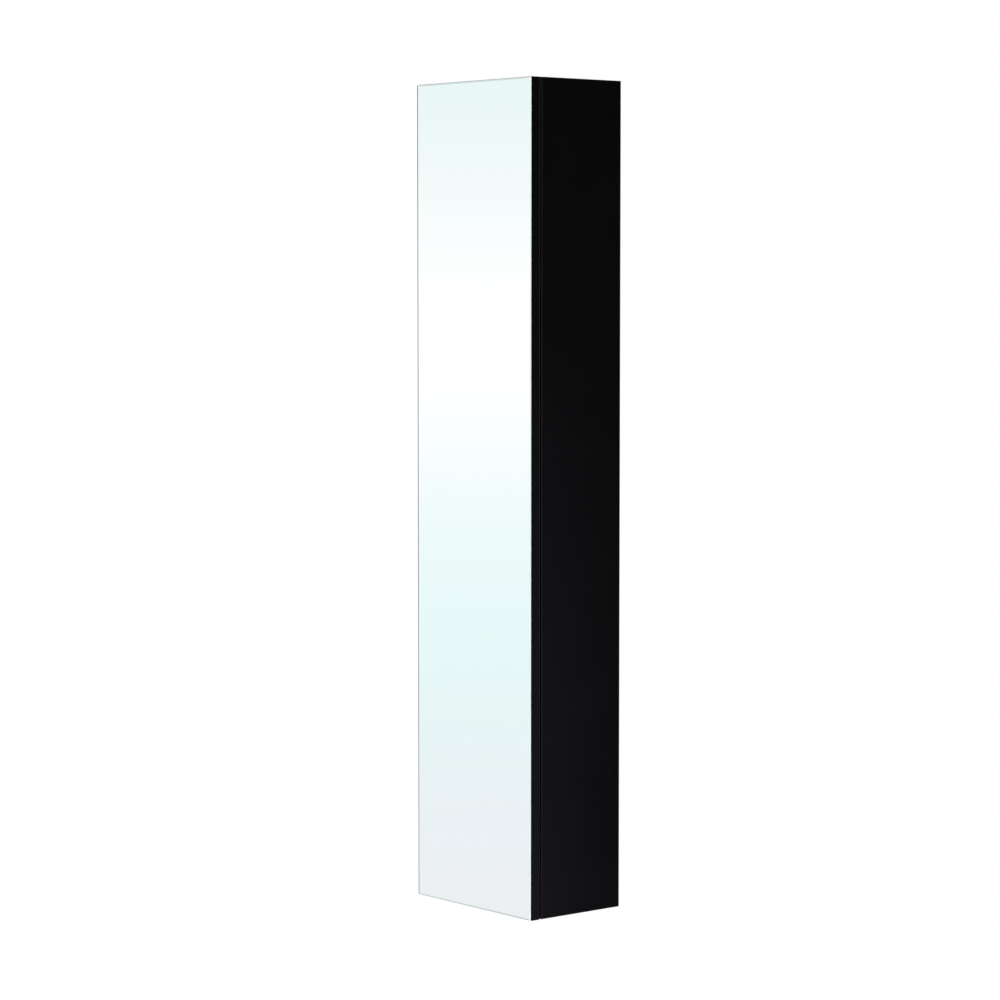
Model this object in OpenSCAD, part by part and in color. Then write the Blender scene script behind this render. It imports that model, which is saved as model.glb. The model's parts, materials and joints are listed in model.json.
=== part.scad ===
// Tall wall cabinet for linen, with one mirrored door
// Origin: middle of the underside. +Z is up, the mirror faces -Y and the wall is at +Y.

/* [Carcass] */
// Overall width
cab_w = 300; // [280:5:420]
// Overall height
cab_h = 1400; // [1300:10:1800]
// Overall depth, from the wall to the face of the mirror
cab_d = 200; // [190:5:300]
// Thickness of the carcass boards
board_t = 16; // [15:1:19]
// Chamfer on the upright edges of the side boards
board_arris = 0.3; // [0.2:0.1:1.5]
// Thickness of the back board
back_t = 5; // [3:1:8]
// Room between the back board and the wall
back_recess = 18; // [18:1:30]
// Depth of the groove that holds the back board
groove_d = 6; // [4:0.5:8]
// Room round the back board in its groove
groove_gap = 0.1; // [0.05:0.05:0.3]
// Height of the top face of the fixed shelf
fixed_shelf_top = 576; // [560:4:600]
// Height of the stiffener across the foot of the back
stiffener_h = 60; // [40:5:80]
// Thickness of the stiffener
stiffener_t = 12; // [10:1:15]

/* [Glass shelves] */
// Clear height below the lowest glass shelf
low_space = 274; // [240:2:300]
// Clear height between the fixed shelf and the glass shelf above it
fixed_space = 214; // [190:2:230]
// Clear height above the top glass shelf
top_space = 198; // [180:2:210]
// Thickness of the glass
shelf_glass_t = 6; // [5:1:8]
// Set-back of the glass from the front of the carcass
shelf_setback = 20; // [10:1:30]
// Room between the glass and each side
shelf_side_gap = 1.5; // [0.5:0.5:3]
// Room between the glass and the back board
shelf_back_gap = 0.8; // [0.4:0.1:0.9]

/* [Shelf supports] */
// Diameter of the holes for the shelf supports
pin_hole_d = 5; // [4:0.5:6]
// Depth of those holes
pin_hole_depth = 11; // [10:1:12]
// Pitch of those holes
pin_pitch = 32; // [25:1:40]
// Set-back of the front row from the front of the carcass
pin_front = 37; // [34:1:45]
// Set-back of the back row from the back board
pin_back = 30; // [20:1:45]
// Radial room round a pin in its hole
pin_gap = 0.05; // [0.02:0.01:0.1]
// Length of the pin in its hole
pin_len = 9; // [6:1:10]
// Diameter of the collar on the face of the side
pin_collar_d = 9; // [8:1:12]
// Thickness of the collar
pin_collar_t = 1.2; // [0.8:0.1:1.4]
// Reach of the tongue under the glass
pin_tongue = 9; // [6:1:14]
// Width of the tongue
pin_tongue_w = 7; // [5:0.5:8]
// Thickness of the tongue
pin_tongue_t = 2; // [1.5:0.5:3]
// Width of the clear pad on the tongue
pin_pad_w = 6; // [4:0.5:7]
// Thickness of the clear pad on the tongue
pin_pad_t = 0.8; // [0.5:0.1:1.5]

/* [Carcass joints] */
// Diameter of a cam lock
cam_d = 15; // [12:1:18]
// Depth of the hole for a cam lock
cam_depth = 12.5; // [11:0.5:13.5]
// Distance of a cam's centre from the end of its board
cam_inset = 24; // [20:1:34]
// Radial room round a cam
cam_gap = 0.1; // [0.05:0.05:0.3]
// Width of the crossed slots in a cam's face
cam_slot_w = 1.6; // [1:0.2:2.4]
// Depth of those slots
cam_slot_d = 1.4; // [0.8:0.2:2]
// Diameter of a cam bolt's stem
bolt_d = 5; // [4:0.5:6]
// Depth of a cam bolt's thread in the side
bolt_thread = 11; // [8:1:12]
// Diameter of the hole for a cam bolt in the end of a board
bolt_hole_d = 7.5; // [7:0.5:8]
// Diameter of a cam bolt's head
bolt_head_d = 6.5; // [6:0.5:6.5]
// Length of that head
bolt_head_t = 2.5; // [2:0.5:4]
// Distance of the cam joints from the front and back edges of a board
joint_inset = 36; // [32:1:45]
// Diameter of a wooden dowel
dowel_d = 8; // [6:1:8]
// Depth of a dowel in the side
dowel_side = 10; // [8:1:12]
// Depth of a dowel in the end of a board
dowel_end = 20; // [16:1:26]
// Radial room round a dowel
dowel_gap = 0.05; // [0.02:0.01:0.2]
// Diameter of a cam's cover
cover_d = 17; // [16:1:20]
// Thickness of a cam's cover
cover_t = 1; // [0.8:0.1:1.5]

/* [Door] */
// Thickness of the door's board
door_t = 18; // [15:1:19]
// Gap between the closed door and the carcass
door_gap = 3; // [2.5:0.5:4]
// Radius of the round along the back edges of the door's board
door_edge_r = 2; // [0.5:0.5:2.5]
// Thickness of the mirror glass
mirror_t = 4; // [3:0.5:6]
// Margin of the board round the mirror
mirror_margin = 0.9; // [0:0.1:3]
// Width of the fine bevel ground along the mirror's front edges
mirror_bevel_w = 2.5; // [0.5:0.1:3]
// Depth of that bevel
mirror_bevel_d = 0.5; // [0.2:0.1:0.8]
// Thickness of the mounting tape behind the mirror
tape_t = 1; // [0.5:0.5:2]
// Width of a strip of tape
tape_w = 40; // [20:5:60]
// Distance of the outer strips from the edges of the mirror
tape_inset = 12; // [5:1:30]
// Diameter of a bumper
bumper_d = 9; // [6:1:12]
// Thickness of a bumper
bumper_t = 1.2; // [0.8:0.1:2]
// Distance of the bumpers' centres from the edges of the door
bumper_inset = 8; // [7:0.5:9]

/* [Door hinges] */
// Distance of the outer hinges' centres from the ends of the door
hinge_end = 100; // [80:5:160]
// Height of the middle hinge above the fixed shelf
hinge_rise = 124; // [100:2:140]
// Diameter of the hole for a hinge's cup
cup_d = 35; // [34.5:0.5:35.5]
// Depth of that hole
cup_depth = 12.5; // [12:0.5:13]
// Distance of that hole from the edge of the door
cup_edge = 5; // [4.5:0.5:6]
// Radial room round the cup
cup_gap = 0.05; // [0.02:0.01:0.2]
// Wall of the cup
cup_wall = 0.8; // [0.6:0.1:1]
// Thickness of the cup's flange
flange_t = 0.8; // [0.6:0.1:1.2]
// Width of the flange's rim round the cup
flange_rim = 2; // [1:0.5:3]
// Spacing of the cup's two screws
cup_screw_pitch = 48; // [45:1:52]
// Offset of the cup's screws from its centre
cup_screw_offset = 6; // [5.5:0.5:9.5]
// The hinge's points in plan come from one fit of the linkage, so they belong together
// Distance of the long link's pivot on the arm from the side's outer face
pivot_a_x = 38.8; // [38.7:0.1:38.9]
// Distance of the same pivot behind the front of the carcass
pivot_a_y = 14.2; // [14.1:0.1:14.3]
// Distance of the short link's pivot on the arm from the side's outer face
pivot_b_x = 34.4; // [34.3:0.1:34.5]
// Distance of the same pivot before the front of the carcass
pivot_b_y = 11; // [10.9:0.1:11.1]
// Distance of the long link's pivot in the cup from the side's outer face, with the door closed
pivot_c_x = 11.2; // [11.1:0.1:11.3]
// Distance of the same pivot before the front of the carcass
pivot_c_y = 6.2; // [6.1:0.1:6.3]
// Distance of the short link's pivot in the cup from the side's outer face, with the door closed
pivot_d_x = 15.5; // [15.4:0.1:15.6]
// Distance of the same pivot before the front of the carcass
pivot_d_y = 9.6; // [9.5:0.1:9.7]
// Distance of the long link's elbow from the side's outer face, with the door closed
elbow_x = 20.2; // [20:0.1:20.4]
// Distance of the same elbow before the front of the carcass
elbow_y = 7; // [6.9:0.1:7.1]
// Distance of the arm's neck from the side's outer face
neck_x = 34; // [33.8:0.1:34.2]
// Difference between the radius of a link's round ends and half the width of its web
link_waist = 0.25; // [0.1:0.05:0.4]
// Half the width of the long link
long_link_r = 1.6; // [1.4:0.1:1.7]
// Half the width of the short link
short_link_r = 1.7; // [1.4:0.1:2]
// Half the height of the short link
short_link_z = 3.6; // [3:0.1:3.8]
// Inner faces of the long link's two plates, from the hinge's middle
long_link_z = 4.1; // [4:0.1:4.3]
// Thickness of the long link's plates
long_link_t = 2; // [1.5:0.1:2]
// Inner faces of the arm's two cheeks, from the hinge's middle
cheek_z = 6.4; // [6.3:0.1:6.6]
// Thickness of the arm's sheet
arm_t = 1.5; // [1.2:0.1:1.6]
// Radius of the arm's nose
nose_r = 2.2; // [2:0.1:2.4]
// Length of the arm behind the front of the carcass
arm_len = 66; // [60:1:75]
// Diameter of a hinge's pins
hinge_pin_d = 2; // [1.6:0.1:2.2]
// Radial room round a hinge's pins
hinge_pin_gap = 0.04; // [0.02:0.01:0.08]
// Wall of the sleeve that joins the long link's plates
sleeve_wall = 1; // [0.8:0.1:1.2]
// Room between the long link and the top of the arm
arm_room = 1; // [0.6:0.1:1.5]
// Room between the arm's cheeks and the ears inside the cup
ear_gap = 0.4; // [0.3:0.1:0.6]
// Reach of those ears from the cup's middle towards the door's edge
ear_inset = 3; // [2:0.5:4]
// Diameter of the screws that clamp the arm to its plate
arm_screw_d = 5; // [4:0.5:5.5]
// Place of the front one of them behind the front of the carcass
arm_screw_front = 26; // [24:1:27]
// Place of the rear one of them behind the front of the carcass
arm_screw_rear = 52; // [48:1:56]
// Grip of those screws in the plate's rail
arm_screw_grip = 4; // [3:0.5:5]
// Room between the ends of the cup's pins and the short link
cup_pin_room = 0.3; // [0.1:0.1:0.4]
// Distance of the other ends of those pins from the outside of the cup
cup_pin_end = 0.2; // [0.1:0.1:0.4]

/* [Hinge plates] */
// Set-back of the plate's screws from the front of the carcass
plate_setback = 37; // [35:1:40]
// Spacing of the plate's two screws
plate_pitch = 32; // [30:1:36]
// Thickness of the plate's wings
plate_t = 2; // [1.5:0.5:3]
// Width of the plate's wings
plate_wing = 16; // [14:1:18]
// Height of the plate's rail off the wings
plate_rail_h = 6; // [5:0.5:7]
// Set-back of the rail from the front of the carcass
rail_setback = 14; // [12:1:16]
// Room between the rail and the arm's cheeks
rail_gap = 0.2; // [0.1:0.1:0.4]
// Room between the plate's wings and the arm
arm_lift = 1; // [0.5:0.5:1.5]
// Diameter of the plate's screws' heads
plate_head_d = 8; // [7:0.5:9]
// Diameter of the plate's screws
plate_screw_d = 5; // [4:0.5:6]
// Length of those screws in the side
plate_screw_len = 11; // [9:1:12]

/* [Push latch] */
// Height of the latch's middle above the fixed shelf
latch_rise = 124; // [80:2:140]
// Diameter of the latch's plunger
plunger_d = 7; // [6:0.5:8]
// Running room round the plunger
plunger_gap = 0.05; // [0.02:0.01:0.1]
// Travel of the plunger
plunger_travel = 2.5; // [1.5:0.5:4]
// Reach of the plunger beyond the front of the carcass
plunger_reach = 1.5; // [1:0.1:1.6]
// Set-back of the latch's housing from the front of the carcass
latch_setback = 3; // [1:0.5:6]
// Length of the latch's housing
latch_len = 72; // [60:1:90]
// Width of the latch's housing off the side
latch_w = 12; // [11:0.5:14]
// Height of the latch's housing
latch_h = 16; // [12:0.5:20]
// Thickness of the housing's ears
latch_ear_t = 3; // [2:0.5:4]
// Width of those ears
latch_ear_w = 16; // [12:1:20]
// Place of the ears behind the front of the housing
latch_ear_y = 46; // [44:1:54]
// Reach of the ears' screws above and below the housing
latch_ear_z = 5; // [4.5:0.5:7]
// Length of the plunger
plunger_len = 40; // [30:1:45]
// Room for the spring when the plunger is pushed in
spring_room = 2; // [1:0.5:6]
// Length of the magnet at the plunger's tip
magnet_len = 4; // [3:0.5:6]
// Diameter of the catch plate on the door
catch_d = 15; // [12:1:18]
// Thickness of the catch plate
catch_t = 1.2; // [1:0.1:1.3]

/* [Wall fixing] */
// Distance of the hangers below the top board
hanger_drop = 8; // [4:1:14]
// Height of a hanger's housing
hanger_h = 62; // [56:1:80]
// Width of a hanger's housing
hanger_w = 24; // [20:1:30]
// Depth of a hanger's housing
hanger_d = 9; // [8:0.5:9.5]
// Distance of the hangers' screws from their ends
hanger_screw_end = 8; // [6:1:12]
// Wood screws' grip in a hanger's housing
hanger_grip = 4; // [3:0.5:6]
// Diameter of the holes that reach a hanger's adjusting screw
cap_hole_d = 8; // [6:0.5:10]
// Radial room round a cap's stem in its hole
cap_gap = 0.1; // [0.05:0.05:0.3]
// Rim of a cap round its hole
cap_rim = 2; // [1:0.5:3]
// Thickness of a cap's rim
cap_t = 1; // [0.8:0.1:1.5]
// Drop of the hooks below the hangers' top faces
hook_drop = 24; // [20:1:28]
// Width of a hook
hook_w = 14; // [10:1:18]
// Thickness of the hooks and of the wall plates
hook_t = 2; // [1.5:0.5:2]
// Thickness of a hook's plate on its housing
hook_plate_t = 1.5; // [1:0.1:1.6]
// Height of that plate below the hook's bridge
hook_plate_low = 16; // [12:1:20]
// Height of that plate above the underside of the hook's bridge
hook_plate_high = 10; // [8:1:12]
// Length of a hook's finger behind the lip
hook_finger = 6; // [5:0.5:7]
// Room round a hook's finger
hook_gap = 0.4; // [0.3:0.1:0.5]
// Reach of a wall plate's lip from its face
lip_reach = 5; // [5:0.1:5.2]
// Height of the lip
lip_h = 10; // [9:0.5:12]
// Height of a wall plate above the top of its lip
wall_plate_head = 8; // [6:1:12]
// Distance of a wall plate from the side's inner face
wall_plate_side = 4; // [2:1:8]
// Drop of the upper wall hole below the top of the lip
wall_hole_drop = 16; // [14:1:18]
// Width of a wall plate
wall_plate_w = 60; // [50:1:80]
// Height of a wall plate
wall_plate_h = 64; // [60:1:80]
// Distance of the wall screws' centres from the sides' inner faces
wall_hole_x = 34; // [30:1:40]
// Spacing of a wall plate's two holes
wall_hole_pitch = 32; // [24:1:36]
// Diameter of the wall plates' holes
wall_hole_d = 6; // [5:0.5:8]

/* [Screws] */
// Diameter of the small wood screws
screw_d = 3.5; // [3:0.5:4]
// Length of the small wood screws in the wood
screw_len = 11; // [8:1:12]
// Radial room round a screw
screw_gap = 0.05; // [0.02:0.01:0.1]
// Depth of a hole beyond the end of its screw, bolt or dowel
hole_over = 1; // [0.5:0.5:1.5]
// Diameter of a screw's head
head_d = 7; // [6:0.5:8]
// Radial room round a head that is sunk in a hole
head_gap = 0.1; // [0.05:0.05:0.3]
// Thickness of a screw's head
head_t = 1.4; // [1:0.1:2]
// Width of the slots in the screws' heads
slot_w = 0.8; // [0.6:0.1:1.2]
// Depth of those slots
slot_d = 0.7; // [0.5:0.1:0.8]

/* [Hidden] */
$fn = 48;
// Overrun of a cut past the face that it starts from
cut = 0.5;

// Planes from front to back
mirror_y = -cab_d / 2;
tape_y = mirror_y + mirror_t;
board_y = tape_y + tape_t;
door_back_y = board_y + door_t;
front_y = door_back_y + door_gap;
wall_y = cab_d / 2;
back_rear_y = wall_y - back_recess;
back_y = back_rear_y - back_t;
side_d = wall_y - front_y;
// Planes across the width
inner_x = cab_w / 2 - board_t;
inner_w = 2 * inner_x;
// Heights
top_z = cab_h - board_t;
hinge_heights = [hinge_end, fixed_shelf_top + hinge_rise, cab_h - hinge_end];
latch_z = fixed_shelf_top + latch_rise;
hanger_top = top_z - hanger_drop;
// Places of the carcass's joints
joint_boards = [board_t / 2, fixed_shelf_top - board_t / 2, cab_h - board_t / 2];
cam_ys = [front_y + joint_inset, back_y - joint_inset];
dowel_y = (cam_ys[0] + cam_ys[1]) / 2;
// Places of the shelf supports: the tongue's pad carries the glass
shelf_1_z = board_t + low_space;
shelf_2_z = fixed_shelf_top + fixed_space;
shelf_4_z = top_z - top_space - shelf_glass_t;
shelf_heights = [shelf_1_z, shelf_2_z, (shelf_2_z + shelf_4_z) / 2, shelf_4_z];
pin_ys = [front_y + pin_front, back_y - pin_back];
pin_drop = pin_pad_t + pin_tongue_t / 2;
// A point in plan, from its distance to the side's outer face and its distance behind the carcass's front
function plan(out, behind) = [out - cab_w / 2, behind + front_y];
// The long link's and the short link's pivots on the arm
a = plan(pivot_a_x, pivot_a_y);
b = plan(pivot_b_x, -pivot_b_y);
// Their pivots in the cup of the closed door
c = plan(pivot_c_x, -pivot_c_y);
d = plan(pivot_d_x, -pivot_d_y);
// The long link's elbow, and the arm's neck between its two pivots
elbow = plan(elbow_x, -elbow_y);
neck = plan(neck_x, 0);
pin_r = hinge_pin_d / 2;
cup_r = cup_d / 2 - cup_gap;
cup_x = cup_edge + cup_d / 2 - cab_w / 2;
cup_screw_x = cup_x + cup_screw_offset;
plate_screw_y = front_y + plate_setback;
function plate_screw_heights(h) = [h - plate_pitch / 2, h + plate_pitch / 2];
function cup_screw_heights(h) = [h - cup_screw_pitch / 2, h + cup_screw_pitch / 2];
// The arm's sheet, and the ears inside the cup that clear it
cheek_out = cheek_z + arm_t;
ear_z = cheek_out + ear_gap;
arm_top_x = a[0] + long_link_r + arm_room;
rail_x = -inner_x + plate_t + plate_rail_h;
rail_front_y = front_y + rail_setback;
arm_screw_ys = [front_y + arm_screw_front, front_y + arm_screw_rear];
// Latch
latch_x = inner_x - latch_w / 2;
plunger_tip_y = front_y - plunger_reach;
latch_front_y = front_y + latch_setback;
latch_screw_y = latch_front_y + latch_ear_y;
latch_screw_z = latch_h / 2 + latch_ear_z;
latch_screw_heights = [latch_z - latch_screw_z, latch_z + latch_screw_z];
latch_bore = plunger_len - plunger_reach - latch_setback + plunger_travel + spring_room;
// Hangers
hanger_x = inner_x - hanger_w / 2;
hanger_y = back_rear_y + hanger_d / 2;
hanger_rear_y = back_rear_y + hanger_d;
hanger_adjust_z = hanger_top - hanger_h / 2;
hanger_screw_heights = [hanger_top - hanger_h + hanger_screw_end, hanger_top - hanger_screw_end];
hook_z = hanger_top - hook_drop;
lip_y = wall_y - hook_t - lip_reach;
wall_hole_heights = [hook_z - wall_hole_drop - wall_hole_pitch, hook_z - wall_hole_drop];
// Holes for the small screws
screw_r = screw_d / 2 + screw_gap;
screw_hole = screw_len + hole_over;

// Plain helpers

// A cylinder from a point along X, Y or Z
module rod_x(p, r, len) { translate(p) rotate([0, 90, 0]) cylinder(r = r, h = len); }
module rod_y(p, r, len) { translate(p) rotate([-90, 0, 0]) cylinder(r = r, h = len); }
module rod_z(p, r, len) { translate(p) cylinder(r = r, h = len); }

// A hole from p towards +X, or towards -Y, that starts a little in front of p
module bore_x(p, r, len) { rod_x(p - [cut, 0, 0], r, len + cut); }
module bore_y(p, r, len) { rod_y(p - [0, len, 0], r, len + cut); }

// A box from its lowest corner to its highest
module block(low, high) { translate(low) cube(high - low); }

// A straight bar in plan, with round ends a little wider than its web
module bar(a, b, r) {
    web = r - link_waist;
    d = b - a;
    translate(a) circle(r);
    translate(b) circle(r);
    translate(a) rotate(atan2(d[1], d[0])) translate([0, -web]) square([norm(d), 2 * web]);
}

// A plate from a plan outline, between two heights
module plate_z(low, high) { translate([0, 0, low]) linear_extrude(high - low) children(); }

// Copies its children at both sides of the cabinet
module both_sides() {
    children();
    mirror([1, 0, 0]) children();
}

// A screw along +Z, with the top of its crossed head at the origin
module screw(d, len, head, thick) {
    difference() {
        union() {
            cylinder(r = head / 2, h = thick);
            cylinder(r = d / 2, h = thick + len);
        }
        for (a = [0, 90]) {
            rotate(a) translate([-head / 4, -slot_w / 2, -cut]) cube([head / 2, slot_w, cut + slot_d]);
        }
    }
}

// Carcass boards

module side_outline() {
    polygon([
        [inner_x, front_y], [cab_w / 2 - board_arris, front_y], [cab_w / 2, front_y + board_arris],
        [cab_w / 2, wall_y - board_arris], [cab_w / 2 - board_arris, wall_y], [inner_x, wall_y],
    ]);
}

module side_cuts() {
    // Groove for the back board
    block(
        [inner_x - cut, back_y - groove_gap, board_t - groove_d],
        [inner_x + groove_d, back_rear_y + groove_gap, top_z + groove_d]
    );
    // Threads of the cam bolts, and the dowels
    for (z = joint_boards) {
        for (y = cam_ys) bore_x([inner_x, y, z], bolt_d / 2 + screw_gap, bolt_thread + hole_over);
        bore_x([inner_x, dowel_y, z], dowel_d / 2 + dowel_gap, dowel_side + hole_over);
    }
    // Holes for the shelf supports: one in use, with a spare above and below
    for (z = shelf_heights, y = pin_ys, step = [-1, 0, 1]) {
        bore_x([inner_x, y, z - pin_drop + step * pin_pitch], pin_hole_d / 2, pin_hole_depth);
    }
    // Screws of the hanger
    for (z = hanger_screw_heights) bore_x([inner_x, hanger_y, z], screw_r, screw_hole);
}

module right_side() {
    difference() {
        linear_extrude(cab_h) side_outline();
        side_cuts();
    }
}

module right_side_panel() {
    color("#17171a") difference() {
        right_side();
        for (z = latch_screw_heights) bore_x([inner_x, latch_screw_y, z], screw_r, screw_hole);
    }
}

module left_side_panel() {
    color("#17171a") mirror([1, 0, 0]) difference() {
        right_side();
        for (h = hinge_heights, z = plate_screw_heights(h)) {
            bore_x([inner_x, plate_screw_y, z], plate_screw_d / 2 + screw_gap, plate_screw_len + hole_over);
        }
    }
}

// Cuts in a board between the sides for its cams, bolts and dowels, with the cams' mouths up or down
module end_joints(low, mouth_up) {
    mid = low + board_t / 2;
    mouth = mouth_up ? low + board_t : low;
    dowel_hole = dowel_end + hole_over;
    both_sides() {
        for (y = cam_ys) {
            translate([inner_x - cam_inset, y, mouth]) mirror([0, 0, mouth_up ? 1 : 0]) {
                translate([0, 0, -cut]) cylinder(r = cam_d / 2, h = cam_depth + cut);
                translate([0, 0, -cut]) cylinder(r = cover_d / 2 + cam_gap, h = cover_t + cut);
            }
            rod_x([inner_x - cam_inset, y, mid], bolt_hole_d / 2, cam_inset + cut);
        }
        rod_x([inner_x - dowel_hole, dowel_y, mid], dowel_d / 2 + dowel_gap, dowel_hole + cut);
    }
}

module back_groove(low, high) {
    block([-inner_x - cut, back_y - groove_gap, low], [inner_x + cut, back_rear_y + groove_gap, high]);
}

module bottom_panel() {
    color("#17171a") difference() {
        block([-inner_x, front_y, 0], [inner_x, wall_y, board_t]);
        end_joints(0, false);
        back_groove(board_t - groove_d, board_t + cut);
    }
}

module top_panel() {
    color("#17171a") difference() {
        block([-inner_x, front_y, top_z], [inner_x, wall_y, cab_h]);
        end_joints(top_z, true);
        back_groove(top_z - cut, top_z + groove_d);
    }
}

module fixed_shelf() {
    color("#17171a") difference() {
        block([-inner_x, front_y, fixed_shelf_top - board_t], [inner_x, back_y, fixed_shelf_top]);
        end_joints(fixed_shelf_top - board_t, false);
    }
}

module back_panel() {
    edge = groove_d - groove_gap;
    color("#1c1c1f") difference() {
        block([-inner_x - edge, back_y, board_t - edge], [inner_x + edge, back_rear_y, top_z + edge]);
        both_sides() rod_y([hanger_x, back_y - cut, hanger_adjust_z], cap_hole_d / 2, back_t + 2 * cut);
    }
}

module stiffener() {
    color("#17171a") block(
        [-inner_x, back_rear_y, board_t],
        [inner_x, back_rear_y + stiffener_t, board_t + stiffener_h]
    );
}

// Glass shelves and their supports

module glass_shelf(z) {
    color("#cfe8e2", 0.4) block(
        [-inner_x + shelf_side_gap, front_y + shelf_setback, z],
        [inner_x - shelf_side_gap, back_y - shelf_back_gap, z + shelf_glass_t]
    );
}

module shelf_supports(z) {
    mid = z - pin_drop;
    color("#c9cbce") both_sides() for (y = pin_ys) {
        rod_x([inner_x - pin_collar_t, y, mid], pin_collar_d / 2, pin_collar_t);
        rod_x([inner_x - pin_collar_t, y, mid], pin_hole_d / 2 - pin_gap, pin_collar_t + pin_len);
        block(
            [inner_x - pin_collar_t - pin_tongue, y - pin_tongue_w / 2, mid - pin_tongue_t / 2],
            [inner_x - pin_collar_t / 2, y + pin_tongue_w / 2, mid + pin_tongue_t / 2]
        );
    }
}

module support_pads() {
    color("#eef1f2", 0.6) both_sides() for (z = shelf_heights, y = pin_ys) {
        block(
            [inner_x - pin_collar_t - pin_tongue, y - pin_pad_w / 2, z - pin_pad_t],
            [inner_x - pin_collar_t, y + pin_pad_w / 2, z]
        );
    }
}

// Carcass joints

// One cam with its axis at the origin, its slotted face down and the bolt coming from +X
module cam(from, bolt_z) {
    difference() {
        translate([0, 0, from]) cylinder(r = cam_d / 2 - cam_gap, h = cam_depth - from - cam_gap);
        rod_x([-bolt_head_d, 0, bolt_z], bolt_head_d / 2 + cam_gap, cam_d + bolt_head_d);
        for (a = [45, 135]) {
            rotate(a) translate([-cam_d / 4, -cam_slot_w / 2, from - cut]) {
                cube([cam_d / 2, cam_slot_w, cut + cam_slot_d]);
            }
        }
    }
}

// Where each board's cams open: the board's low face, and whether the mouths look up
cam_rows = [[0, false], [fixed_shelf_top - board_t, false], [top_z, true]];

module at_cams() {
    both_sides() for (row = cam_rows, y = cam_ys) {
        mouth = row[1] ? row[0] + board_t : row[0];
        translate([inner_x - cam_inset, y, mouth]) mirror([0, 0, row[1] ? 1 : 0]) children();
    }
}

module cam_locks() { color("#a8a9ad") at_cams() cam(cover_t, board_t / 2); }

module cam_covers() { color("#17171a") at_cams() cylinder(r = cover_d / 2, h = cover_t); }

module cam_bolts() {
    color("#a8a9ad") both_sides() for (z = joint_boards, y = cam_ys) {
        rod_x([inner_x - cam_inset, y, z], bolt_d / 2, cam_inset + bolt_thread);
        rod_x([inner_x - cam_inset, y, z], bolt_head_d / 2, bolt_head_t);
    }
}

module wood_dowels() {
    color("#d9b98a") both_sides() for (z = joint_boards) {
        rod_x([inner_x - dowel_end, dowel_y, z], dowel_d / 2, dowel_end + dowel_side);
    }
}

// Door

// The board's section across its width or height, with its two back edges rounded
module door_section(len) {
    r = door_edge_r;
    translate([r, board_y]) square([len - 2 * r, door_t]);
    translate([0, board_y]) square([len, door_t - r]);
    translate([r, door_back_y - r]) circle(r);
    translate([len - r, door_back_y - r]) circle(r);
}

module door_panel() {
    color("#141417") difference() {
        intersection() {
            translate([-cab_w / 2, 0, 0]) linear_extrude(cab_h) door_section(cab_w);
            translate([-cab_w / 2, 0, 0]) mirror([1, 0, -1]) linear_extrude(cab_w) door_section(cab_h);
        }
        for (h = hinge_heights) {
            bore_y([cup_x, door_back_y, h], cup_d / 2, cup_depth);
            for (z = cup_screw_heights(h)) bore_y([cup_screw_x, door_back_y, z], screw_r, screw_hole);
        }
        bore_y([latch_x, door_back_y, latch_z], screw_r, screw_hole);
    }
}

// The mirror's section across its width or height, with a bevel at the two front edges
module mirror_section(len) {
    low = mirror_margin;
    high = len - mirror_margin;
    bevel_y = mirror_y + mirror_bevel_d;
    polygon([
        [low + mirror_bevel_w, mirror_y], [high - mirror_bevel_w, mirror_y], [high, bevel_y],
        [high, tape_y], [low, tape_y], [low, bevel_y],
    ]);
}

module mirror_glass() {
    color("#dff1f2") intersection() {
        translate([-cab_w / 2, 0, 0]) linear_extrude(cab_h) mirror_section(cab_w);
        translate([-cab_w / 2, 0, 0]) mirror([1, 0, -1]) linear_extrude(cab_w) mirror_section(cab_h);
    }
}

module mirror_tape() {
    edge = cab_w / 2 - mirror_margin - tape_inset;
    low = mirror_margin + tape_inset;
    color("#e6e6e2") for (x = [-edge, -tape_w / 2, edge - tape_w]) {
        block([x, tape_y, low], [x + tape_w, board_y, cab_h - low]);
    }
}

module door_bumpers() {
    x = cab_w / 2 - bumper_inset;
    color("#eef1f2", 0.6) for (z = [bumper_inset, cab_h - bumper_inset]) {
        rod_y([x, door_back_y, z], bumper_d / 2, bumper_t);
    }
}

module catch_plate() {
    color("#b9bbbf") difference() {
        rod_y([latch_x, door_back_y, latch_z], catch_d / 2, catch_t);
        rod_y([latch_x, door_back_y - cut, latch_z], screw_r, catch_t + 2 * cut);
    }
}

module catch_screw() {
    color("#9b9da1") difference() {
        rod_y([latch_x, door_back_y - screw_len, latch_z], screw_d / 2, screw_len + catch_t);
        rod_y([latch_x, door_back_y + catch_t - slot_d, latch_z], slot_w, slot_d + cut);
    }
}

// Door hinges, each about its own height h

module hinge_plate(h) {
    half = plate_wing / 2;
    wing_z = plate_pitch / 2 + half;
    color("#c9cbce") difference() {
        union() {
            block(
                [-inner_x, plate_screw_y - half, h - wing_z],
                [-inner_x + plate_t, plate_screw_y + half, h + wing_z]
            );
            block(
                [-inner_x, rail_front_y, h - cheek_z + rail_gap],
                [rail_x, front_y + arm_len, h + cheek_z - rail_gap]
            );
        }
        for (z = plate_screw_heights(h)) {
            bore_x([-inner_x, plate_screw_y, z], plate_screw_d / 2 + screw_gap, plate_t + cut);
        }
        for (v = arm_screw_ys) bore_x([-inner_x, v, h], arm_screw_d / 2, plate_t + plate_rail_h + cut);
    }
}

// A hole for a pin at p, through everything within reach of the hinge's middle
module pin_hole(p, h, reach) {
    rod_z([p[0], p[1], h - reach - cut], pin_r + hinge_pin_gap, 2 * reach + 2 * cut);
}

module arm_outline() {
    foot = -inner_x + plate_t + arm_lift;
    bar(a, neck, nose_r);
    bar(neck, b, nose_r);
    polygon([
        [arm_top_x + arm_t, a[1]], [arm_top_x + arm_t, front_y + arm_len], [foot, front_y + arm_len],
        [foot, rail_front_y], a,
    ]);
}

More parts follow.
